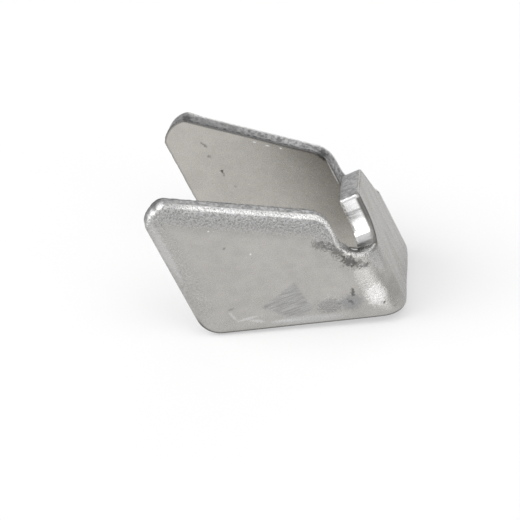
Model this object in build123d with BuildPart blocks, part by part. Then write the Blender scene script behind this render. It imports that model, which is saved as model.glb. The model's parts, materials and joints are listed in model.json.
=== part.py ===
from build123d import *

import os
from math import atan2, cos, degrees, radians, sin, sqrt, tan

# Exhaust spring bracket: one stamped sheet, folded twice into a splayed channel.
# A base plate carries two wings. Each wing is folded from one side of the base and opens a little
# beyond square. A cut-out at the top of each fold leaves a tongue between them, and the hook of an
# exhaust spring goes round that tongue. The edges of the outer face are rolled over all round.
# The sheet is built with its base upright: the base's outer face on the YZ plane, its lower edge at
# the origin and the wings running towards -X. It is then leaned back to the place where it rests.

os.makedirs("parts", exist_ok=True)

# Sheet, in millimetres
sheet_thickness = 2.5
inside_bend_radius = 1.0
rolled_edge_radius = 0.45

# Base plate, measured along and across its outer face
base_width = 17.3
tongue_rise = 2.2
tongue_corner_radius = 0.7

# Cut-outs, round at the bottom before folding and open at the top
cutout_radius = 2.9
cutout_offset = 6.5
cutout_height = 11.6

# Wings, measured on their outer faces from the end of the bend
wing_splay = 12.2
wing_length = 18.8
wing_root_height = 14.9
wing_bottom_rise = 23.0
wing_top_rise = 34.0
wing_edge_setback = 0.5
shoulder_radius = 2.8
upper_corner_radius = 2.8
lower_corner_radius = 3.2

# The bend, from the base's plane to the wing's plane
bend_radius = inside_bend_radius + sheet_thickness
bend_angle = 90 - wing_splay
bend_length = bend_radius * radians(bend_angle)
bend_start = base_width / 2 - bend_radius * tan(radians(bend_angle) / 2)

# Places along the outer face, measured from the start of the bend
cutout_centre = cutout_offset - bend_start
stretched_radius = bend_length + wing_edge_setback - cutout_centre
bottom_curve_radius = bend_length / sin(radians(wing_bottom_rise))

# Heights of the tongue and of the wing's corners
tongue_height = cutout_height + tongue_rise
wing_root_bottom = bottom_curve_radius * (1 - cos(radians(wing_bottom_rise)))
wing_end_bottom = wing_root_bottom + wing_length * tan(radians(wing_bottom_rise))
wing_end_top = wing_root_height + wing_length * tan(radians(wing_top_rise))
shoulder_height = wing_root_height + wing_edge_setback * tan(radians(wing_top_rise))

# Room that the cutting shapes take past the sheet
clearance = 0.5
clear_height = wing_end_top + clearance
bend_stations = 16

# How far apart the rolled edges of two neighbouring stretches may end and still be joined as one
seam_tolerance = 0.02


def cutout_floor(along):
    """Height of a cut-out's lower edge, at a distance along the outer face past the bend's start."""
    reach = cutout_radius if along < cutout_centre else stretched_radius
    return cutout_height - cutout_radius * sqrt(1 - ((along - cutout_centre) / reach) ** 2)


def bottom_edge(along):
    """Height of the sheet's lower edge there: it curves from the base's level to the wing's slope."""
    return bottom_curve_radius - sqrt(bottom_curve_radius**2 - along**2)


def resting_lean():
    """Degrees that the base leans back when it rests with the lower corners of both wings.

    The base touches the ground with the lower edge of its inner face, and each wing with the rounded
    corner of its own. Seen from the side that corner is an ellipse, level with the base's edge.
    """
    splay, rise = radians(wing_splay), radians(wing_bottom_rise)
    corner_reach = wing_length - lower_corner_radius
    corner_height = wing_root_bottom + corner_reach * tan(rise) + lower_corner_radius / cos(rise)
    corner_depth = bend_radius - inside_bend_radius * sin(splay) + corner_reach * cos(splay)
    depth = corner_depth - sheet_thickness
    across = depth**2 - (lower_corner_radius * cos(splay)) ** 2
    upward = corner_height**2 - lower_corner_radius**2
    root = sqrt((depth * corner_height) ** 2 - across * upward)
    return degrees(atan2(depth * corner_height - root, across))


def radial_plane(along):
    """Plane square to the bend at a distance along it, with the bend's axis as its local Y axis."""
    angle = along / bend_radius
    outward = (cos(angle), sin(angle), 0)
    return Plane(origin=(-bend_radius, bend_start, 0), x_dir=outward, z_dir=(sin(angle), -cos(angle), 0))


def bend_section(along, low, high):
    """Rectangle on a radial plane that reaches past both faces of the sheet, between two heights."""
    with BuildSketch(radial_plane(along)) as section:
        with Locations(((bend_radius + inside_bend_radius) / 2, (low + high) / 2)):
            Rectangle(sheet_thickness + clearance, high - low)
    return section.sketch


def roll_edges(outer_face, joined_faces):
    """Round the outer face's edges in the part being built, apart from those where the sheet goes on."""
    fillet(outer_face.edges() - joined_faces.edges(), rolled_edge_radius)


# The base and its tongue, between the starts of the two bends
with BuildPart() as base:
    with BuildSketch(Plane.YZ) as base_outline:
        with Locations((0, tongue_height / 2)):
            Rectangle(2 * bend_start, tongue_height)
        with Locations((cutout_offset, cutout_height), (-cutout_offset, cutout_height)):
            Circle(cutout_radius, mode=Mode.SUBTRACT)
            Rectangle(
                2 * cutout_radius, clear_height, align=(Align.CENTER, Align.MIN), mode=Mode.SUBTRACT
            )
        fillet(base_outline.vertices().group_by(Axis.Y)[-1], tongue_corner_radius)
    extrude(amount=-sheet_thickness)
    sides = base.faces().filter_by(Axis.Y).group_by(Axis.Y)
    roll_edges(base.faces().sort_by(Axis.X)[-1], sides[0] + sides[-1])

# One bend: a quarter ring, cut by its lower edge and by the floor of the cut-out
with BuildPart() as bend:
    with BuildSketch(Plane.XY) as ring:
        with Locations((-bend_radius, bend_start)):
            Circle(bend_radius)
            Circle(inside_bend_radius, mode=Mode.SUBTRACT)
            Rectangle(2 * bend_radius, bend_radius, align=(Align.CENTER, Align.MAX), mode=Mode.SUBTRACT)
        with Locations(Location((-bend_radius, bend_start), bend_angle)):
            Rectangle(2 * bend_radius, bend_radius, align=(Align.CENTER, Align.MIN), mode=Mode.SUBTRACT)
    extrude(amount=clear_height)
    extrude(ring.sketch, amount=-clearance)
    places = [bend_length * station / bend_stations for station in range(-3, bend_stations + 2)]
    loft([bend_section(along, -2 * clearance, bottom_edge(along)) for along in places], mode=Mode.SUBTRACT)
    loft(
        [bend_section(along, cutout_floor(along), clear_height + clearance) for along in places],
        mode=Mode.SUBTRACT,
    )
    roll_edges(bend.faces().sort_by(SortBy.AREA)[-1], bend.faces().filter_by(GeomType.PLANE))

# One wing, on the plane of its outer face from the end of the bend
wing_direction = radial_plane(bend_length)
wing_plane = Plane(
    origin=wing_direction.from_local_coords((bend_radius, 0)),
    x_dir=-wing_direction.z_dir,
    z_dir=wing_direction.x_dir,
)
rounded_corners = (
    ((wing_length, wing_end_bottom), lower_corner_radius),
    ((wing_length, wing_end_top), upper_corner_radius),
    ((wing_edge_setback, shoulder_height), shoulder_radius),
)
with BuildPart() as wing:
    with BuildSketch(wing_plane) as wing_outline:
        with BuildLine():
            Polyline(
                (0, wing_root_bottom),
                (wing_length, wing_end_bottom),
                (wing_length, wing_end_top),
                (0, wing_root_height),
                close=True,
            )
        make_face()
        with Locations((cutout_centre - bend_length, cutout_height)):
            Ellipse(stretched_radius, cutout_radius, mode=Mode.SUBTRACT)
            Rectangle(
                2 * stretched_radius, clear_height, align=(Align.CENTER, Align.MIN), mode=Mode.SUBTRACT
            )
        for corner, radius in rounded_corners:
            fillet(wing_outline.vertices().sort_by_distance(corner)[0], radius)
    extrude(amount=-sheet_thickness)
    outward = Axis(wing_plane.origin, wing_plane.z_dir)
    lengthwise = Axis(wing_plane.origin, wing_plane.x_dir)
    root_and_end = wing.faces().filter_by(lengthwise).sort_by(lengthwise)
    roll_edges(wing.faces().sort_by(outward)[-1], root_and_end[:1])

# The folded sheet, with its base upright
side = bend.part.fuse(wing.part, tol=seam_tolerance)
folded = side.fuse(mirror(side, about=Plane.XZ), base.part, tol=seam_tolerance)

# The bracket at rest, with its origin on the ground under the middle of its length and width
leaned = folded.rotate(Axis.Y, -resting_lean())
extent = leaned.bounding_box()
with BuildPart() as spring_bracket:
    with Locations((-extent.center().X, 0, -extent.min.Z)):
        add(leaned)

spring_bracket.part.label = "spring_bracket"
export_step(spring_bracket.part, "parts/spring_bracket.step")
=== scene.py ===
import json
from collections import namedtuple
from math import cos, degrees, pi, radians, sin, tan

import bpy
import numpy as np
from mathutils import Matrix, Vector, noise
from mathutils.geometry import delaunay_2d_cdt
from mathutils.kdtree import KDTree


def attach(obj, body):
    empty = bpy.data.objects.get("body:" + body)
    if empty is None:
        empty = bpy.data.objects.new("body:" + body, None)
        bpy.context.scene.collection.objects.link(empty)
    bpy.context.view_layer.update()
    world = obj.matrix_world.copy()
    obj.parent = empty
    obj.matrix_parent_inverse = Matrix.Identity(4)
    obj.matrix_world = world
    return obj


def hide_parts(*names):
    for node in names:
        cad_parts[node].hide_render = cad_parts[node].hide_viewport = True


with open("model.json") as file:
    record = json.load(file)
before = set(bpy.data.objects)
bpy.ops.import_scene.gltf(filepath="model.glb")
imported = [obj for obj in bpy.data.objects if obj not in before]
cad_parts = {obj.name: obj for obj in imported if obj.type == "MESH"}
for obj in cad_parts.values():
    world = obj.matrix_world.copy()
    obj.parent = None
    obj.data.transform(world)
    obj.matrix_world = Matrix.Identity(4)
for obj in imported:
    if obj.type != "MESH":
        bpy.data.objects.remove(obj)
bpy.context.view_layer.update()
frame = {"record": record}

MM = 0.001

# The sheet in millimetres: the same sizes as the solid's, but for the tongue's sharper corner
THICKNESS = 2.5
INSIDE_RADIUS = 1.0
BASE_WIDTH = 17.3
TONGUE_HEIGHT = 13.8
TONGUE_CORNER = 0.3
CUTOUT_RADIUS = 2.9
CUTOUT_OFFSET = 6.5
CUTOUT_HEIGHT = 11.6
WING_SPLAY = radians(12.2)
BOTTOM_RISE = radians(23)
TOP_RISE = radians(34)
EDGE_SETBACK = 0.5
LOWER_CORNER = 3.2

# The two wings differ a little where they were trimmed: in length, in height at the bend, in the radii
# of the shoulder and the upper corner, and in how far that corner is flattened towards a straight cut.
# On each side the tongue's neck is wider by so much at its foot and at its top, and its curve turns
# straight at so many degrees.
Trim = namedtuple(
    "Trim",
    "wing_length root_height shoulder_radius corner_radius corner_flattened "
    "foot_widened top_widened neck_turn",
)
NEAR_TRIM = Trim(18.7, 14.94, 3.0, 1.9, 0.55, 0.0, -0.22, 180)
FAR_TRIM = Trim(18.66, 14.87, 2.8, 2.4, 0.5, 1.1, -0.45, 145)

# The far side of the base bows outwards by this much. The bow eases in between these two places across
# the base and fades round the far bend.
FAR_BOW = 0.16
BOW_START = -3.0
BOW_END = 4.0

# The bend, on its outer face
BEND_RADIUS = INSIDE_RADIUS + THICKNESS
BEND_ANGLE = pi / 2 - WING_SPLAY
BEND_LENGTH = BEND_RADIUS * BEND_ANGLE
BEND_START = BASE_WIDTH / 2 - BEND_RADIUS * tan(BEND_ANGLE / 2)
BEND_END = BEND_START + BEND_LENGTH

# Where the record's mount puts the base's outer face, and how high up the base that place is
MOUNT = next(m for m in frame["record"]["mounts"] if m["name"] == "base_face")
MOUNT_HEIGHT = 5.5
BASE_NORMAL = np.array(MOUNT["axis"])
SHEET_UP = np.array((-BASE_NORMAL[2], 0, BASE_NORMAL[0]))
ORIGIN = np.array(MOUNT["pos_m"]) / MM - MOUNT_HEIGHT * SHEET_UP

# How each stretch of the outer edge looks: how far in from the edge its roll starts, how deep it
# goes, how much the tumbling has hammered the face beside it, which also weighs the painted highlight
# there and the painted shade below that, and how bright the shear has left its cut
Edge = namedtuple("Edge", ("width", "drop", "peened", "sheared"))
EDGES = {
    "foot": Edge(0.6, 0.45, 0.08, 0.0),
    "heel": Edge(0.95, 0.65, 0.1, 0.0),
    "bottom": Edge(0.85, 0.55, 0.08, 0.0),
    "end": Edge(1.2, 0.55, 0.3, 0.0),
    "corner": Edge(1.1, 0.45, 0.8, 0.0),
    "top": Edge(2.1, 0.95, 1.0, 0.0),
    "shoulder": Edge(1.8, 0.9, 1.0, 0.0),
    "slot side": Edge(1.2, 0.65, 0.8, 0.0),
    "slot floor": Edge(0.6, 0.42, 0.3, 0.0),
    "neck": Edge(0.35, 0.3, 0.05, 1.0),
    "tongue": Edge(0.4, 0.25, 0.05, 0.22),
}
# Widths and drops of the roll along the near wing's upper edge, which is narrower on its top and
# deeper by the fold
NEAR_ROLL = {"top": (1.25, 0.8), "shoulder": (1.8, 1.1), "slot side": (1.5, 0.95)}
# The lower edges, which lie in the shade
LOWER_EDGES = ("foot", "heel", "bottom")

# The mesh: steps along the outline, and between the points and the rows of points that fill a face,
# how far those keep from its rim, and how finely the stretches of the outline are drawn at first
OUTLINE_STEP = 0.12
FACE_STEP = 0.3
ROW_STEP = FACE_STEP * 0.87
FACE_CLEARANCE = 0.6 * FACE_STEP
LINE_POINTS = 200
ARC_POINTS = 60

# Over how many steps either way each value along the outline is smoothed
POINT_BLUR = 4
INWARD_BLUR = 2
TURN_BLUR = 3
ROLL_BLUR = 12
WIDTH_BLUR = 8
PEENED_BLUR = 20
SHEARED_BLUR = 3
SHADOWED_BLUR = 9

# Inside a corner the roll takes up this share of the room at most, for so many steps either way. An
# outline that turns less than this in a step counts as straight.
ROOM_SHARE = 0.8
ROOM_REACH = 10
STRAIGHT = 0.001

# Rings of points round the roll and down the cut face, and how steeply the roll falls away
ROLL_RINGS = 13
CUT_RINGS = 9
ROLL_POWER = 1.25

# Depths where the cut face ends and where its ragged inner rim does, and how wide that rim is
CUT_END = THICKNESS - 0.12
RIM_END = THICKNESS - 0.02
RIM_WIDTH = 0.1

# Chips in the cut face: how deep they go, the level they vary about, the parts they are made of by
# share, lump size and seed, and how far those parts shift on the way down the face
CHIP_DEPTH = 0.05
CHIP_LEVEL = 0.5
CHIPS = ((0.5, 0.45, 3.1), (0.4, 0.2, 7.7))
CHIP_SHIFT = 2.2
# They begin part of the way down, deepen at this rate, and mostly spare the sheared walls
TORN_START = 0.35
TORN_RATE = 1.6
SHEARED_SPARED = 0.8

# How far in the ragged rim goes at least and further, the level it varies about, and its lump size
# and seed
RAGGED_LEAST = 0.02
RAGGED_DEPTH = 0.08
RAGGED_LEVEL = 0.2
RAGGED_LUMPS = (0.5, 11.3)

# The faces' slight unevenness: how deep, lump size and seed
DENTS = ((0.03, 4.5, 1.7), (0.008, 1.3, 5.2))

# How high the grains of the surface stand, in millimetres
GRAIN_HEIGHT = 0.1

# The surface's noises: lumps to a millimetre, detail and roughness. The streaks of the base and the
# strokes of the scraped triangle are drawn out by their own sizes instead.
FINE_NOISE = (7.0, 2.0, 0.6)
GRAIN_NOISE = (3.8, 2.0, 0.6)
SHRED_NOISE = (2.6, 4.0, 0.7)
CLOUD_NOISE = (0.22, 4.0, 0.6)
MOTTLE_NOISE = (0.9, 4.0, 0.6)
STREAK_NOISE = (1.0, 3.0, 0.55)
STREAK_SIZE = (1.1, 7.0, 1.0)
STREAK_ANGLE = -8
HATCH_NOISE = (1.0, 2.0, 0.6)
HATCH_SIZE = (2.4, 0.1, 1.0)
HATCH_ANGLE = -9

# The noises along the cut faces: how much they vary through the thickness, their seed, and the same
CHIP_NOISE = (0.6, 4.0, 2.6, 4.0, 0.65)
STROKE_NOISE = (0.08, 9.0, 3.5, 3.0, 0.6)

# Painted shade on the sheared walls towards their foot, by the cut-out's floor: the heights where each
# begins and where it is full, its tone and its warmth
Shade = namedtuple("Shade", ("start", "full", "tone", "warmth"))
WALL_SHADES = (
    Shade(9.6, 9.4, 0.15, 0.0),
    Shade(9.1, 9.0, 0.2, 0.0),
    Shade(9.0, 8.85, 0.1, 0.01),
)

# Where the near wing sparkles besides its edges, the first two with a painted highlight on the fold:
# places on the flat sheet, half sizes, angle in degrees, how strong the grains are and how bright
# their painted highlight is
Glow = namedtuple("Glow", ("centre", "radii", "angle", "grains", "shine"))
GLOWS = (
    Glow((-10.2, 6.0), (1.4, 3.2), 8, 0.4, 0.27),
    Glow((-10.0, 4.0), (1.7, 2.2), 10, 0.45, 0.68),
    Glow((-15.2, 5.4), (2.0, 1.3), -20, 0.5, 0.0),
)

# The corners of the scraped triangle on the flat sheet
SCRAPED = ((-17.3, 10.2), (-22.3, 9.1), (-20.3, 6.3), (-18.3, 5.5), (-16.9, 5.8))

# Grime and scuffs, and some painted highlights and shade: places on the flat sheet, half sizes, angle
# in degrees, strength, and the tone and warmth of their grey. Those on the near side are on the outer
# face, and those on the far side on the inner one.
Mark = namedtuple("Mark", ("centre", "radii", "angle", "strength", "tone", "warmth"))
MARKS = (
    # Grainy and bluish patches beside the scraped triangle
    Mark((-15.2, 5.4), (2.3, 1.4), -20, 0.65, 0.24, 0.0),
    Mark((-12.9, 4.5), (2.1, 1.5), -20, 0.65, 0.25, -0.02),
    # A painted highlight in a band on the fold, and a brown painted shade by its foot
    Mark((-8.0, 7.6), (1.1, 2.8), 4, 0.45, 0.62, 0.0),
    Mark((-6.9, 3.2), (2.1, 2.2), 10, 0.4, 0.26, 0.05),
    # Grime beside and below the near cut-out
    Mark((-12.8, 12.4), (1.8, 0.8), -40, 0.7, 0.12, 0.03),
    Mark((-11.7, 10.9), (1.6, 0.9), -60, 0.75, 0.11, 0.03),
    Mark((-11.0, 9.3), (1.5, 1.1), -40, 0.8, 0.08, 0.03),
    Mark((-10.4, 8.5), (1.2, 0.85), -25, 0.7, 0.11, 0.03),
    Mark((-9.5, 7.8), (1.0, 0.45), -20, 0.7, 0.10, 0.02),
    # Dark strokes beside the fold and a dot at its foot
    Mark((-12.3, 5.5), (0.35, 0.75), -20, 0.8, 0.10, 0.0),
    Mark((-12.9, 4.6), (0.3, 0.7), 30, 0.7, 0.12, 0.0),
    Mark((-9.6, 2.55), (0.3, 0.2), 0, 0.9, 0.10, 0.0),
    # The triangle's far corner, and the light band and scratches along the lower edge
    Mark((-21.7, 8.9), (0.7, 0.4), 0, 0.35, 0.2, 0.0),
    Mark((-18.0, 5.0), (5.8, 0.7), -23, 0.5, 0.56, -0.01),
    Mark((-24.0, 8.5), (1.9, 0.22), -13, 0.7, 0.60, 0.0),
    Mark((-25.5, 9.6), (0.24, 1.0), 15, 0.6, 0.58, 0.0),
    Mark((-23.3, 7.75), (1.2, 0.24), -35, 0.7, 0.60, 0.0),
    Mark((-20.3, 6.1), (2.4, 0.24), -25, 0.6, 0.60, 0.0),
    Mark((-25.3, 10.5), (0.6, 0.22), 0, 0.6, 0.22, 0.0),
    # A painted highlight along the near wing's free end
    Mark((-28.65, 20.5), (0.7, 6.0), 0, 0.45, 0.6, 0.0),
    # The near wing's upper corner, marked by wear: painted glints on its flat spots, and a painted
    # shadow line beyond them
    Mark((-27.8, 25.2), (0.56, 0.25), 0, 0.9, 0.85, 0.0),
    Mark((-26.7, 25.45), (0.62, 0.22), 5, 0.9, 0.85, 0.0),
    Mark((-28.35, 24.9), (0.22, 0.22), 0, 0.8, 0.8, 0.0),
    Mark((-27.15, 25.75), (1.3, 0.18), -3, 0.85, 0.09, 0.0),
    # Dots on the near wing
    Mark((-23.3, 20.3), (0.16, 0.12), 0, 0.7, 0.9, 0.0),
    Mark((-20.4, 15.5), (0.14, 0.16), 0, 0.7, 0.9, 0.0),
    Mark((-22.7, 17.6), (0.2, 0.2), 0, 0.6, 0.16, 0.0),
    # The light line beside the far cut-out, and dark patches on the far shoulder and upper edge
    Mark((11.3, 12.9), (0.15, 2.4), 0, 0.8, 0.75, 0.0),
    Mark((11.65, 15.15), (1.0, 0.36), 62, 0.85, 0.07, 0.0),
    Mark((25.5, 25.0), (1.2, 0.32), 35, 0.85, 0.08, 0.0),
    # Light flecks under the far wing's upper edge
    Mark((18.6, 19.5), (0.3, 0.14), 34, 0.8, 0.9, 0.0),
    Mark((17.3, 18.6), (0.35, 0.12), 34, 0.8, 0.9, 0.0),
    Mark((15.9, 17.75), (0.2, 0.14), 34, 0.8, 0.9, 0.0),
    # A stroke and dots on the far wing
    Mark((24.7, 21.2), (0.85, 0.24), 67, 0.65, 0.16, 0.03),
    Mark((24.8, 19.5), (0.42, 0.42), 0, 0.55, 0.16, 0.03),
    Mark((24.2, 17.1), (0.38, 0.7), 10, 0.85, 0.07, 0.03),
    Mark((23.6, 14.7), (0.3, 0.3), 0, 0.5, 0.3, 0.03),
)
# Marks narrower and darker than this have the most tattered outlines
TATTERED_WIDTH = 2
TATTERED_TONE = 0.3

# The floor's half size in metres, its grey, and its glow for the camera and the metal
FLOOR_HALF = 3.0
FLOOR_GREY = 0.36
FLOOR_GLOW = 0.46

# The studio's soft lights, their angles in degrees, and the light from everywhere
Light = namedtuple("Light", ("azimuth", "elevation", "width", "level"))
SOFT_LIGHTS = (
    Light(-45, 60, 38, 2.8),
    Light(85, 58, 36, 0.9),
    Light(-48, 12, 26, 2.8),
    Light(-102, 14, 36, 1.9),
    Light(-100, 48, 30, 0.5),
    Light(82, 10, 32, 1.8),
    Light(14, 8, 28, 0.6),
    Light(-168, 38, 34, 7.5),
)
AMBIENT = 0.28

# The photograph's camera: its place from the middle of the base's foot and its right and upward
# directions, each along the base's normal, across, and up the base. Its place, lens and sensor are in
# millimetres, and the nearest that it sees is in metres.
CAMERA_PLACE = (55.123, -245.395, 126.658)
CAMERA_RIGHT = (0.90049, 0.04995, -0.43201)
CAMERA_UP = (0.35634, 0.48467, 0.79882)
CAMERA_LENS = 166.33
SENSOR_WIDTH = 36.0
NEAREST_SEEN = 0.01


def fold(flat, depth):
    """Places in metres of points of the flat sheet, at depths in millimetres under its outer face.

    A flat point is its distance from the middle along the outer face and its height up the sheet.
    """
    past = np.abs(flat[:, 0]) - BEND_START
    side = np.where(flat[:, 0] < 0, -1.0, 1.0)
    turned = np.clip(past / BEND_RADIUS, 0, BEND_ANGLE)
    run = np.maximum(past - BEND_LENGTH, 0)
    reach = BEND_RADIUS - depth
    back = BEND_RADIUS - reach * np.cos(turned) + run * np.sin(turned)
    across = BEND_START + np.minimum(past, 0) + reach * np.sin(turned) + run * np.cos(turned)
    eased = np.clip((flat[:, 0] - BOW_START) / (BOW_END - BOW_START), 0, 1)
    back -= FAR_BOW * eased**2 * (3 - 2 * eased) * np.cos(turned) ** 2
    place = ORIGIN - np.outer(back, BASE_NORMAL) + np.outer(flat[:, 1], SHEET_UP)
    place[:, 1] += side * across
    return place * MM


def arc(centre, radii, start, end):
    """Points of an arc or an elliptical arc, from one angle in degrees to another."""
    turns = np.radians(np.linspace(start, end, ARC_POINTS))
    return np.stack((centre[0] + radii[0] * np.cos(turns), centre[1] + radii[1] * np.sin(turns)), 1)


def line(start, end):
    """Points of a straight stretch."""
    return np.linspace(start, end, LINE_POINTS)


def rounded(before, corner, after, radius):
    """Points of the arc that rounds a corner between two straight stretches."""
    one = (Vector(before) - Vector(corner)).normalized()
    two = (Vector(after) - Vector(corner)).normalized()
    half = one.angle(two) / 2
    centre = Vector(corner) + (one + two).normalized() * radius / sin(half)
    start = Vector(corner) + one * radius / tan(half) - centre
    end = Vector(corner) + two * radius / tan(half) - centre
    turns = np.linspace(0, -start.angle_signed(end), ARC_POINTS)
    x = centre.x + start.x * np.cos(turns) - start.y * np.sin(turns)
    y = centre.y + start.x * np.sin(turns) + start.y * np.cos(turns)
    return np.stack((x, y), 1)


def half_outline(trim):
    """The stretches of half the flat sheet's outline, from the middle of its foot to its top."""
    edge = BEND_END + EDGE_SETBACK
    end = BEND_END + trim.wing_length
    curve = BEND_LENGTH / sin(BOTTOM_RISE)
    root_bottom = (BEND_END, curve * (1 - cos(BOTTOM_RISE)))
    end_bottom = (end, root_bottom[1] + trim.wing_length * tan(BOTTOM_RISE))
    end_top = (end, trim.root_height + trim.wing_length * tan(TOP_RISE))
    shoulder = (edge, trim.root_height + EDGE_SETBACK * tan(TOP_RISE))
    slot_top = (edge, CUTOUT_HEIGHT)
    slot_centre = (CUTOUT_OFFSET, CUTOUT_HEIGHT)
    floor_radii = (edge - CUTOUT_OFFSET, CUTOUT_RADIUS)
    neck_foot = CUTOUT_OFFSET - CUTOUT_RADIUS + trim.foot_widened
    neck_radii = (CUTOUT_OFFSET - neck_foot, CUTOUT_RADIUS)
    tip = CUTOUT_OFFSET - CUTOUT_RADIUS + trim.top_widened
    tip_centre = (tip - TONGUE_CORNER, TONGUE_HEIGHT - TONGUE_CORNER)

    lower = rounded(root_bottom, end_bottom, end_top, LOWER_CORNER)
    upper = rounded(end_bottom, end_top, shoulder, trim.corner_radius)
    upper += trim.corner_flattened * (np.linspace(upper[0], upper[-1], len(upper)) - upper)
    turn = rounded(end_top, shoulder, slot_top, trim.shoulder_radius)
    neck = arc(slot_centre, neck_radii, -90, -trim.neck_turn)
    return (
        ("foot", line((0, 0), (BEND_START, 0))),
        ("heel", arc((BEND_START, curve), (curve, curve), -90, -90 + degrees(BOTTOM_RISE))),
        ("bottom", line(root_bottom, lower[0])),
        ("bottom", lower),
        ("end", line(lower[-1], upper[0])),
        ("corner", upper),
        ("top", line(upper[-1], turn[0])),
        ("shoulder", turn),
        ("slot side", line(turn[-1], slot_top)),
        ("slot floor", arc(slot_centre, floor_radii, 0, -90)),
        ("neck", neck),
        ("neck", line(neck[-1], (tip, tip_centre[1]))),
        ("tongue", arc(tip_centre, (TONGUE_CORNER, TONGUE_CORNER), 0, 90)),
        ("tongue", line((tip_centre[0], TONGUE_HEIGHT), (0, TONGUE_HEIGHT))),
    )


def blurred(values, reach):
    """Values round a closed line, averaged with their neighbours up to so many steps away."""
    weights = np.exp(-np.linspace(-2, 2, 2 * reach + 1) ** 2)
    weights /= weights.sum()
    return sum(w * np.roll(values, k - reach, 0) for k, w in enumerate(weights))


class Outline:
    """The flat sheet's whole outline, sampled at even steps, with what each place on it looks like."""

    def __init__(self):
        far, near = half_outline(FAR_TRIM), half_outline(NEAR_TRIM)
        near = [(name, points[::-1] * (-1, 1)) for name, points in reversed(near)]
        stretches = list(far) + near
        loop = np.concatenate([points[:-1] for _, points in stretches])
        names = np.concatenate([[name] * (len(points) - 1) for name, points in stretches])
        gaps = np.linalg.norm(np.roll(loop, -1, 0) - loop, axis=1)
        travelled = np.concatenate(([0], np.cumsum(gaps)))
        self.count = int(travelled[-1] / OUTLINE_STEP)
        self.along = np.linspace(0, travelled[-1], self.count, endpoint=False)
        closed = np.concatenate((loop, loop[:1]))
        points = [np.interp(self.along, travelled, closed[:, k]) for k in (0, 1)]
        self.points = blurred(np.stack(points, 1), POINT_BLUR)
        passed = np.searchsorted(travelled, self.along, "right") - 1
        stretch = names[np.clip(passed, 0, len(names) - 1)]

        tangent = np.roll(self.points, -1, 0) - np.roll(self.points, 1, 0)
        tangent /= np.linalg.norm(tangent, axis=1)[:, None]
        self.inward = blurred(np.stack((-tangent[:, 1], tangent[:, 0]), 1), INWARD_BLUR)
        self.inward /= np.linalg.norm(self.inward, axis=1)[:, None]

        looks = np.array([EDGES[name] for name in stretch])
        for name, roll in NEAR_ROLL.items():
            looks[(stretch == name) & (self.points[:, 0] < 0), :2] = roll
        width = np.minimum(blurred(looks[:, 0], ROLL_BLUR), roll_room(tangent))
        self.width = blurred(width, WIDTH_BLUR)
        self.drop = blurred(looks[:, 1], ROLL_BLUR)
        self.peened = blurred(looks[:, 2], PEENED_BLUR)
        self.sheared = blurred(looks[:, 3], SHEARED_BLUR)
        self.shadowed = blurred(np.isin(stretch, LOWER_EDGES).astype(float), SHADOWED_BLUR)


def roll_room(tangent):
    """How wide a roll may be along an outline, so that it doesn't cross itself inside a corner."""
    ahead = np.roll(tangent, -1, 0)
    turned = tangent[:, 0] * ahead[:, 1] - tangent[:, 1] * ahead[:, 0]
    room = ROOM_SHARE * OUTLINE_STEP / np.maximum(blurred(turned, TURN_BLUR), STRAIGHT)
    return np.min([np.roll(room, k) for k in range(-ROOM_REACH, ROOM_REACH + 1)], 0)


def tree_of(points):
    """A tree of flat points, which finds the nearest of them to a place."""
    tree = KDTree(len(points))
    for k, (x, y) in enumerate(points):
        tree.insert((x, y, 0), k)
    tree.balance()
    return tree


def lumps_at(points, size, seed):
    """Smooth random values from about -1 to 1 at points in millimetres, for lumps of a size."""
    return np.array([noise.noise(Vector((x / size, y / size, seed))) for x, y in points])


def edge_rings(outline):
    """Rings of points from the outer face, round the edge, to the inner face.

    Each ring is its points in the flat sheet and their depths.
    """
    rings = []

    def add_ring(inset, depth):
        rings.append((outline.points + outline.inward * inset[:, None], depth))

    for turn in np.radians(np.linspace(0, 90, ROLL_RINGS)):
        inset = outline.width * (1 - np.sin(turn)) ** ROLL_POWER
        add_ring(inset, outline.drop * (1 - np.cos(turn)))

    places = np.stack((outline.along, np.zeros(outline.count)), 1)
    for share in np.linspace(0, 1, CUT_RINGS + 1)[1:]:
        chipped = CHIP_LEVEL
        for part, size, seed in CHIPS:
            chipped = chipped + part * lumps_at(places + (0, share * CHIP_SHIFT), size, seed)
        torn = np.clip(share * TORN_RATE - TORN_START, 0, 1)
        spared = 1 - SHEARED_SPARED * outline.sheared
        inset = CHIP_DEPTH * torn * np.maximum(chipped, 0) * spared
        add_ring(inset, outline.drop + (CUT_END - outline.drop) * share)

    lumps = lumps_at(places, *RAGGED_LUMPS)
    ragged = RAGGED_LEAST + RAGGED_DEPTH * np.maximum(lumps + RAGGED_LEVEL, 0)
    add_ring(ragged, np.full(outline.count, RIM_END))
    add_ring(ragged + RIM_WIDTH, np.full(outline.count, THICKNESS))
    return rings


def filled(ring, inward):
    """Triangles that fill a ring, as indices into the ring's points and new points inside it."""
    tree = tree_of(ring)
    low, high = ring.min(0), ring.max(0)
    inside = []
    for row, y in enumerate(np.arange(low[1], high[1], ROW_STEP)):
        for x in np.arange(low[0] + (row % 2) * FACE_STEP / 2, high[0], FACE_STEP):
            near, k, _ = tree.find((x, y, 0))
            if (x - near.x) * inward[k][0] + (y - near.y) * inward[k][1] > FACE_CLEARANCE:
                inside.append((x, y))
    corners = [Vector(p) for p in ring] + [Vector(p) for p in inside]
    edges = [(k, (k + 1) % len(ring)) for k in range(len(ring))]
    points, _, faces, _, _, _ = delaunay_2d_cdt(corners, edges, [], 1, 1e-5)
    assert len(points) == len(corners)
    return np.array(inside), faces


def add_attribute(mesh, name, *columns):
    """Keeps three values for each of a mesh's points, for its material."""
    data = mesh.attributes.new(name, "FLOAT_VECTOR", "POINT").data
    data.foreach_set("vector", np.column_stack(columns).ravel().astype(np.float32))


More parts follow.
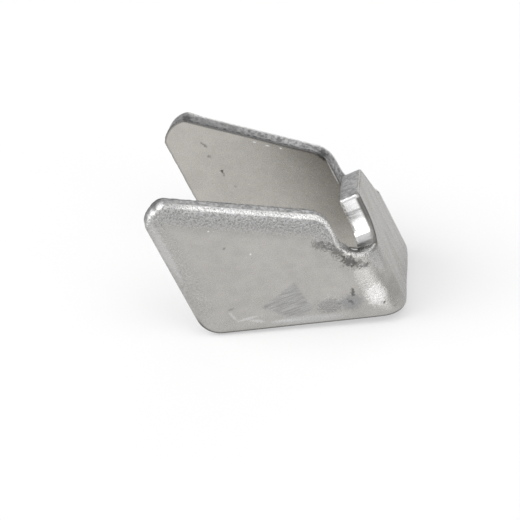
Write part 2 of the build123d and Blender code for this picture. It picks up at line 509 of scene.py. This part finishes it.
def bracket_mesh():
    """The folded sheet as one closed mesh, with what its material needs to know about each point."""
    outline = Outline()
    rings = edge_rings(outline)
    outer_inside, outer_faces = filled(rings[0][0], outline.inward)
    inner_inside, inner_faces = filled(rings[-1][0], outline.inward)
    flat = np.concatenate([points for points, _ in rings] + [outer_inside, inner_inside])
    inner_depths = np.full(len(inner_inside), THICKNESS)
    depth = np.concatenate([depth for _, depth in rings] + [np.zeros(len(outer_inside)), inner_depths])

    ring_size, ring_total = outline.count, outline.count * len(rings)
    faces = []
    for ring in range(len(rings) - 1):
        for k in range(ring_size):
            one, two = ring * ring_size + k, ring * ring_size + (k + 1) % ring_size
            faces.append((one, one + ring_size, two + ring_size, two))
    last = ring_total - ring_size
    shift = ring_total + len(outer_inside)
    for face in outer_faces:
        faces.append([k if k < ring_size else k - ring_size + ring_total for k in face])
    for face in inner_faces:
        faces.append([k + last if k < ring_size else k - ring_size + shift for k in face][::-1])

    dented = sum(deep * (1 + lumps_at(flat, size, seed)) for deep, size, seed in DENTS)
    share = depth / THICKNESS
    bumped = depth + dented * (1 - share) - dented * share
    mesh = bpy.data.meshes.new("spring_bracket_sheet")
    mesh.from_pydata([tuple(p) for p in fold(flat, bumped)], [], [tuple(f) for f in faces])
    mesh.update()

    beyond_rings = np.zeros(len(flat) - ring_total)
    along = np.concatenate([outline.along] * len(rings) + [beyond_rings])
    sheared = np.concatenate([outline.sheared] * len(rings) + [beyond_rings])
    # The cut face fades in over the roll's last rings, and the innermost ring isn't part of it
    cut = np.zeros(len(flat))
    ring_of = np.arange(ring_total) // ring_size
    past_roll = np.clip((ring_of - (ROLL_RINGS - 2)) / 2, 0, 1)
    cut[:ring_total] = past_roll * np.clip(len(rings) - 1.5 - ring_of, 0, 1)
    tree = tree_of(outline.points)
    closest = [tree.find((x, y, 0)) for x, y in flat]
    places = [place for _, place, _ in closest]
    inset = [distance for _, _, distance in closest]
    add_attribute(mesh, "sheet", flat, depth)
    add_attribute(mesh, "edge", along, cut, sheared)
    add_attribute(mesh, "rim", inset, outline.peened[places], outline.shadowed[places])
    mesh.shade_smooth()
    return mesh


class Nodes:
    """Adds nodes to a material's or the world's tree, one call each, and gives back an output."""

    def __init__(self, owner):
        owner.use_nodes = True
        self.tree = owner.node_tree
        self.tree.nodes.clear()

    def node(self, kind, inputs=(), **settings):
        """A node whose inputs are given as constants or as outputs of other nodes."""
        node = self.tree.nodes.new(kind)
        for name, value in settings.items():
            setattr(node, name, value)
        for key, value in dict(inputs).items():
            if isinstance(value, bpy.types.NodeSocket):
                self.tree.links.new(value, node.inputs[key])
            else:
                node.inputs[key].default_value = value
        return node

    def math(self, operation, *values):
        """One step of arithmetic on values."""
        return self.node("ShaderNodeMath", enumerate(values), operation=operation).outputs[0]

    def product(self, first, *others):
        """Values multiplied in their order."""
        for other in others:
            first = self.math("MULTIPLY", first, other)
        return first

    def rest(self, share):
        """What a share leaves of 1."""
        return self.math("SUBTRACT", 1.0, share)

    def dot(self, one, two):
        """How far one vector reaches along another."""
        node = self.node("ShaderNodeVectorMath", {0: one, 1: two}, operation="DOT_PRODUCT")
        return node.outputs["Value"]

    def noise(self, place, scale, detail, rough):
        """A noise from 0 to 1 with so many lumps to a unit of the place."""
        inputs = {"Vector": place, "Scale": scale, "Detail": detail, "Roughness": rough}
        return self.node("ShaderNodeTexNoise", inputs).outputs["Fac"]

    def spread(self, value, low, high, to_low=0.0, to_high=1.0, smooth=True):
        """A value's range from low to high, eased to another range and held at both ends."""
        kind = "SMOOTHSTEP" if smooth else "LINEAR"
        ranges = {"From Min": low, "From Max": high, "To Min": to_low, "To Max": to_high}
        node = self.node("ShaderNodeMapRange", {"Value": value, **ranges}, interpolation_type=kind)
        return node.outputs["Result"]

    def blend(self, share, one, two):
        """The first colour where the share is 0, and the second where it is 1."""
        inputs = {"Factor": share, 6: one, 7: two}
        return self.node("ShaderNodeMix", inputs, data_type="RGBA", clamp_factor=True).outputs[2]

    def attribute(self, name):
        """An attribute of the mesh, as a vector and as its three parts."""
        vector = self.node("ShaderNodeAttribute", attribute_name=name).outputs["Vector"]
        return vector, self.node("ShaderNodeSeparateXYZ", {0: vector}).outputs

    def turned(self, place, size, angle, centre=(0, 0)):
        """A place from a centre, along axes that are turned by degrees, in units of a size."""
        inputs = {
            "Vector": place,
            "Location": (*centre, 0),
            "Rotation": (0, 0, radians(angle)),
            "Scale": size,
        }
        return self.node("ShaderNodeMapping", inputs, vector_type="TEXTURE").outputs[0]

    def spot(self, place, centre, radii, angle, ragged):
        """A patch round a place on the flat sheet, at any depth: 1 in its middle and 0 outside it."""
        local = self.turned(place, (*radii, 1e6), angle, centre)
        away = self.node("ShaderNodeVectorMath", {0: local}, operation="LENGTH").outputs["Value"]
        return self.spread(self.math("ADD", away, ragged), 1.0, 0.4)

    def wedge(self, place, corners, ragged):
        """A patch with straight sides on the flat sheet, its corners given anticlockwise."""
        least = None
        for start, end in zip(corners, corners[1:] + corners[:1]):
            along = (Vector(end) - Vector(start)).normalized()
            side = self.dot(place, (-along.y, along.x, 0))
            room = self.math("SUBTRACT", side, -along.y * start[0] + along.x * start[1])
            least = room if least is None else self.math("MINIMUM", least, room)
        return self.spread(self.math("ADD", least, ragged), 0.0, 0.3)

    def surface(self, shader):
        """Makes a shader the material's surface."""
        self.node("ShaderNodeOutputMaterial", {"Surface": shader.outputs[0]})


def grey(level, warmth=0.0):
    """A grey as linear colour, slightly brown or, with a warmth below 0, slightly blue."""
    return (level * (1 + warmth), level, level * (1 - 1.6 * warmth), 1)


class Sheet(Nodes):
    """Tumbled stainless sheet: satin faces, hammered edges, torn and sheared cuts, grime and scuffs,
    and painted highlights and shade.

    The mesh gives these for each place, with lengths in millimetres: how far along the flat sheet
    from its middle, how far up it and how deep under its outer face it is, how far along the outline,
    whether it is on the cut face and how sheared that is, how far in from the nearest edge it is, and
    how hammered that edge is, which also weighs painted highlights and shade, and how shadowed it is,
    for painted shade along the lower edges.
    """

    def __init__(self, owner):
        super().__init__(owner)
        self.sheet, (self.along, self.up, self.depth) = self.attribute("sheet")
        _, (self.along_edge, self.cut, self.sheared) = self.attribute("edge")
        _, (self.inset, self.peened, self.shadowed) = self.attribute("rim")
        self.reach = self.math("ABSOLUTE", self.along)
        self.outside = self.spread(self.depth, 1.6, 0.9)
        self.inside = self.rest(self.outside)

        # The floors of the cut-outs, which get painted shade
        across = self.spread(self.reach, 11.5, 10.5)
        self.cutout_floor_shade = self.product(across, self.spread(self.up, 7.0, 8.0), self.spread(self.up, 11, 10))

        # Grains, and shreds that tatter the outlines of patches
        self.fine = self.noise(self.sheet, *FINE_NOISE)
        self.grain = self.noise(self.sheet, *GRAIN_NOISE)
        self.sparks = self.spread(self.math("ADD", self.fine, self.grain), 0.8, 1.15)
        shreds = self.noise(self.sheet, *SHRED_NOISE)
        self.tatter = self.spread(shreds, 0.25, 0.75, -0.6, 0.9, smooth=False)
        self.soft_tatter = self.product(self.tatter, 0.35)

    def drawn(self, through, seed, scale, detail, rough):
        """A noise along the cut face that is drawn out through its depth."""
        inputs = {0: self.along_edge, 1: self.product(self.depth, through), 2: seed}
        place = self.node("ShaderNodeCombineXYZ", inputs).outputs[0]
        return self.noise(place, scale, detail, rough)

    def peening_and_highlights(self):
        """How strongly the outer face sparkles with hammered grains, and the weight of their polish and
        of the painted highlight on them.

        Both are strongest beside the tumbled edges and in the patches of GLOWS.
        """
        sparkle = self.product(self.peened, self.spread(self.inset, 3.3, 1.1))
        towards_end = self.spread(self.reach, 27, 23, 0.1, 0.65)
        towards_fold = self.spread(self.reach, 15, 12.5, 0.0, 0.3)
        polish_and_highlight_reach = self.math("ADD", towards_end, towards_fold)
        # The grains' polish by the edges, which also weighs their painted highlight
        polish_and_highlight = self.product(self.peened, self.spread(self.inset, 0.5, 0.25), polish_and_highlight_reach)
        for glow in GLOWS:
            patch = self.spot(self.sheet, glow.centre, glow.radii, glow.angle, self.soft_tatter)
            sparkle = self.math("MAXIMUM", sparkle, self.product(patch, glow.grains))
            polish_and_highlight = self.math("MAXIMUM", polish_and_highlight, self.product(patch, glow.shine))
        return self.product(sparkle, self.outside), self.product(polish_and_highlight, self.outside)

    def plain_faces(self):
        """Grey that drifts in large clouds and small mottles.

        The base is streaked along its height, and painted shade makes it darker than the wings and
        turns the far wing brown inside towards the tongue.
        """
        clouds = self.spread(self.noise(self.sheet, *CLOUD_NOISE), 0.3, 0.7, -0.25, 0.25)
        mottle = self.spread(self.noise(self.sheet, *MOTTLE_NOISE), 0.3, 0.7, -0.25, 0.25)
        level = self.math("ADD", self.math("ADD", clouds, mottle), 0.5)

        wings = self.blend(level, grey(0.405, 0.03), grey(0.468, 0.03))
        # Painted shade: the base is the same steel as the wings, in a darker grey
        base = self.blend(level, grey(0.335, 0.015), grey(0.38, 0.015))
        streaks = self.noise(self.turned(self.sheet, STREAK_SIZE, STREAK_ANGLE), *STREAK_NOISE)
        base = self.blend(self.spread(streaks, 0.45, 0.6), base, grey(0.30, 0.05))
        outer = self.blend(self.spread(self.reach, 8.5, 5.5), wings, base)

        inner = self.blend(level, grey(0.44, 0.04), grey(0.50, 0.04))
        # Painted shade: the far wing's inner face darkens to brown towards the tongue
        towards_tongue = self.product(self.spread(self.along, 21, 8), self.spread(self.up, 2, 8))
        shaded = self.product(towards_tongue, self.spread(self.along, 0, 4, 0, 0.95))
        inner = self.blend(shaded, inner, grey(0.18, 0.07))
        return self.blend(self.outside, inner, outer)

    def grained_and_painted_faces(self, face, sparkle, polish_and_highlight):
        """The faces with hammered grains by their edges and dark at the inner rim, and painted light:
        highlights and glints by the edges, shade below those, at the lower edges and on the cut-outs'
        floors.
        """
        # Painted shade: a darker band a little in from the hammered edges, below their highlight
        painted_dark_band = self.product(self.peened, self.outside, self.spread(self.inset, 3.4, 1.0, 0, 0.8))
        face = self.blend(painted_dark_band, face, grey(0.25))
        # Speckles of dark and light grain by the edges, partly painted glints
        grain_and_painted_glints = self.blend(self.sparks, grey(0.14), grey(0.64))
        face = self.blend(self.product(sparkle, 0.4), face, grain_and_painted_glints)
        # Painted highlight: near-white on the polish by the edges and on the fold
        shine = self.product(polish_and_highlight, self.spread(self.sparks, 0, 1, 0.75, 1.0))
        face = self.blend(shine, face, grey(0.93, 0.005))

        lip = self.product(self.inside, self.spread(self.inset, 0.36, 0.15))
        tumbled = self.product(self.peened, 0.8)
        face = self.blend(self.product(lip, tumbled), face, grey(0.12))
        underside = self.product(self.shadowed, self.spread(self.inset, 0.4, 0.1))
        face = self.blend(underside, face, grey(0.1, 0.03))
        # Painted shade at the inner rim of the cut-outs' floors
        floors = self.product(self.cutout_floor_shade, 0.75)
        return self.blend(self.product(lip, floors), face, grey(0.15, 0.02))

    def torn_cuts(self, face, chips):
        """The cut faces: dark and rough, with chips, and with a dark burr on the inner side.

        Painted shade darkens them towards the free ends and in the cut-outs, whose burr is fainter.
        """
        torn = self.blend(self.spread(chips, 0.35, 0.65), grey(0.19), grey(0.5))
        # Painted shade on the cut faces towards both free ends
        torn = self.blend(self.spread(self.along, 14, 24, 0.0, 0.6), torn, grey(0.2))
        torn = self.blend(self.spread(self.along, -21, -28, 0.0, 0.6), torn, grey(0.2))
        # Painted shade on the cut faces in the cut-outs
        torn = self.blend(self.cutout_floor_shade, torn, grey(0.13, 0.01))
        jagged = self.math("ADD", self.depth, self.spread(chips, 0.3, 0.7, -0.3, 0.3))
        burr = self.product(self.spread(jagged, 2.15, 2.35), self.cut, self.rest(self.sheared))
        burr = self.product(burr, self.spread(self.reach, 11.3, 11.8, 0.3, 1.0), 0.9)
        return self.blend(burr, self.blend(self.cut, face, torn), grey(0.05))

    def sheared_walls(self, colour, shear, rim):
        """The tongue's sides: bright, drawn through the thickness, with painted shade at their foot and
        rim.
        """
        strokes = self.drawn(*STROKE_NOISE)
        wall = self.blend(self.spread(strokes, 0.3, 0.6), grey(0.88), grey(0.98))
        streak = self.product(self.spread(self.up, 11.65, 11.85), self.spread(self.up, 12.3, 12.15))
        streak = self.product(streak, self.spread(strokes, 0.35, 0.55, 0.2, 1.0))
        wall = self.blend(streak, wall, grey(0.52))
        # Painted shade towards the walls' foot
        for shade in WALL_SHADES:
            shaded = self.spread(self.up, shade.start, shade.full)
            wall = self.blend(shaded, wall, grey(shade.tone, shade.warmth))
        # The rim's dark grey is painted shade
        return self.blend(rim, self.blend(shear, colour, wall), grey(0.19, 0.03))

    def wall_rim(self):
        """Painted shade on the roll along the sheared walls' outer edge: a dark strip which widens
        upwards.
        """
        sheared = self.product(self.sheared, self.spread(self.sheared, 0.7, 0.95))
        taper = self.math("SUBTRACT", self.inset, self.spread(self.up, 9.0, 13.2, -0.15, 0.15))
        shallow = self.spread(self.depth, 0.75, 0.35)
        return self.product(shallow, sheared, self.spread(taper, 0.5, 0.3))

    def scraped(self, colour):
        """The scraped triangle near the lower edge, with its strokes."""
        hatch = self.noise(self.turned(self.sheet, HATCH_SIZE, HATCH_ANGLE), *HATCH_NOISE)
        frayed = self.spread(hatch, 0.3, 0.7, -0.35, 0.35, smooth=False)
        patch = self.product(self.wedge(self.sheet, SCRAPED, frayed), self.outside)
        strokes = self.blend(self.spread(hatch, 0.4, 0.62), grey(0.31, 0.01), grey(0.43, 0.01))
        return self.blend(patch, colour, strokes)

    def marked(self, colour):
        """The grime and scuffs, and the painted highlights and shade among them."""
        for mark in MARKS:
            tattered = mark.radii[0] < TATTERED_WIDTH and mark.tone < TATTERED_TONE
            ragged = self.tatter if tattered else self.soft_tatter
            patch = self.spot(self.sheet, mark.centre, mark.radii, mark.angle, ragged)
            side = self.outside if mark.centre[0] < 0 else self.inside
            patch = self.product(patch, mark.strength, side)
            colour = self.blend(patch, colour, grey(mark.tone, mark.warmth))
        return colour

    def roughness(self, polish_and_highlight, shear, rim):
        """Smoother where the grains have their polish and the walls are sheared, rougher where cut."""
        rough = self.spread(self.grain, 0.3, 0.7, 0.24, 0.34)
        rough = self.math("SUBTRACT", rough, self.product(polish_and_highlight, 0.05))
        rough = self.math("ADD", rough, self.product(self.cut, 0.18))
        smoothed = self.product(shear, self.spread(self.up, 8.6, 10.0, 0.08, 0.2))
        rough = self.math("SUBTRACT", rough, smoothed)
        return self.math("ADD", rough, self.product(rim, 0.35))

    def bump(self, sparkle, shear, chips):
        """Grains on the faces, strong where they sparkle, and chips on the cut faces."""
        height = self.math("ADD", self.fine, self.product(self.grain, 0.7))
        height = self.product(height, self.spread(sparkle, 0, 1, 0.09, 1.5, smooth=False))
        height = self.math("ADD", height, self.product(chips, self.cut, 1.5))
        height = self.product(height, self.spread(shear, 0, 1, 1.0, 0.1))
        inputs = {"Strength": 1.0, "Distance": GRAIN_HEIGHT * MM, "Height": height}
        return self.node("ShaderNodeBump", inputs).outputs[0]

    def build(self):
        """Joins all of it in one metal surface."""
        sparkle, polish_and_highlight = self.peening_and_highlights()
        chips = self.drawn(*CHIP_NOISE)
        shear = self.product(self.cut, self.sheared)
        rim = self.wall_rim()
        colour = self.grained_and_painted_faces(self.plain_faces(), sparkle, polish_and_highlight)
        colour = self.torn_cuts(colour, chips)
        colour = self.sheared_walls(colour, shear, rim)
        colour = self.marked(self.scraped(colour))
        inputs = {
            "Base Color": colour,
            "Metallic": 1.0,
            "Roughness": self.roughness(polish_and_highlight, shear, rim),
            "Normal": self.bump(sparkle, shear, chips),
        }
        self.surface(self.node("ShaderNodeBsdfPrincipled", inputs))


def sheet_material():
    """The bracket's material."""
    material = bpy.data.materials.new("stainless_sheet")
    Sheet(material).build()
    return material


def add_floor():
    """A white floor that the camera and the metal see near white, with the bracket's shadow on it."""
    mesh = bpy.data.meshes.new("floor")
    corners = [(x * FLOOR_HALF, y * FLOOR_HALF, 0) for x, y in ((-1, -1), (1, -1), (1, 1), (-1, 1))]
    mesh.from_pydata(corners, [], [(0, 1, 2, 3)])
    floor = bpy.data.objects.new("floor", mesh)
    bpy.context.scene.collection.objects.link(floor)
    material = bpy.data.materials.new("floor_white")
    nodes = Nodes(material)
    path = nodes.node("ShaderNodeLightPath").outputs
    seen = nodes.math("MAXIMUM", path["Is Camera Ray"], path["Is Glossy Ray"])
    strength = nodes.product(seen, FLOOR_GLOW)
    matt = nodes.node("ShaderNodeBsdfDiffuse", {"Color": grey(FLOOR_GREY)})
    glow = nodes.node("ShaderNodeEmission", {"Color": grey(1), "Strength": strength})
    nodes.surface(nodes.node("ShaderNodeAddShader", {0: matt.outputs[0], 1: glow.outputs[0]}))
    mesh.materials.append(material)


def add_world():
    """A pale studio with wide soft lights round the bracket."""
    world = bpy.data.worlds.new("studio")
    bpy.context.scene.world = world
    nodes = Nodes(world)
    place = nodes.node("ShaderNodeTexCoord").outputs["Generated"]
    total = AMBIENT
    for light in SOFT_LIGHTS:
        side, high = radians(light.azimuth), radians(light.elevation)
        toward = (cos(side) * cos(high), sin(side) * cos(high), sin(high))
        edge = cos(radians(light.width))
        glow = nodes.spread(nodes.dot(place, toward), edge, 1.0, 0.0, light.level)
        total = nodes.math("ADD", total, glow)
    background = nodes.node("ShaderNodeBackground", {"Strength": total})
    nodes.node("ShaderNodeOutputWorld", {0: background.outputs[0]})


def add_camera():
    """The photograph's camera: a long lens that looks down on the bracket from its side."""
    axes = Matrix((BASE_NORMAL, (0, 1, 0), SHEET_UP)).transposed()
    place = Vector(ORIGIN) + axes @ Vector(CAMERA_PLACE)
    right = axes @ Vector(CAMERA_RIGHT)
    back = right.cross(axes @ Vector(CAMERA_UP)).normalized()
    data = bpy.data.cameras.new("camera")
    data.sensor_width = SENSOR_WIDTH
    data.lens = CAMERA_LENS
    data.clip_start = NEAREST_SEEN
    camera = bpy.data.objects.new("camera", data)
    turned = Matrix((right, back.cross(right), back)).transposed()
    camera.matrix_world = Matrix.Translation(place * MM) @ turned.to_4x4()
    bpy.context.scene.collection.objects.link(camera)
    bpy.context.scene.camera = camera


bracket = bpy.data.objects.new("bracket_sheet", bracket_mesh())
bpy.context.scene.collection.objects.link(bracket)
bracket.data.materials.append(sheet_material())
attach(bracket, "root")
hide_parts("spring_bracket")

add_floor()
add_world()
add_camera()
bpy.context.scene.view_settings.view_transform = "Standard"
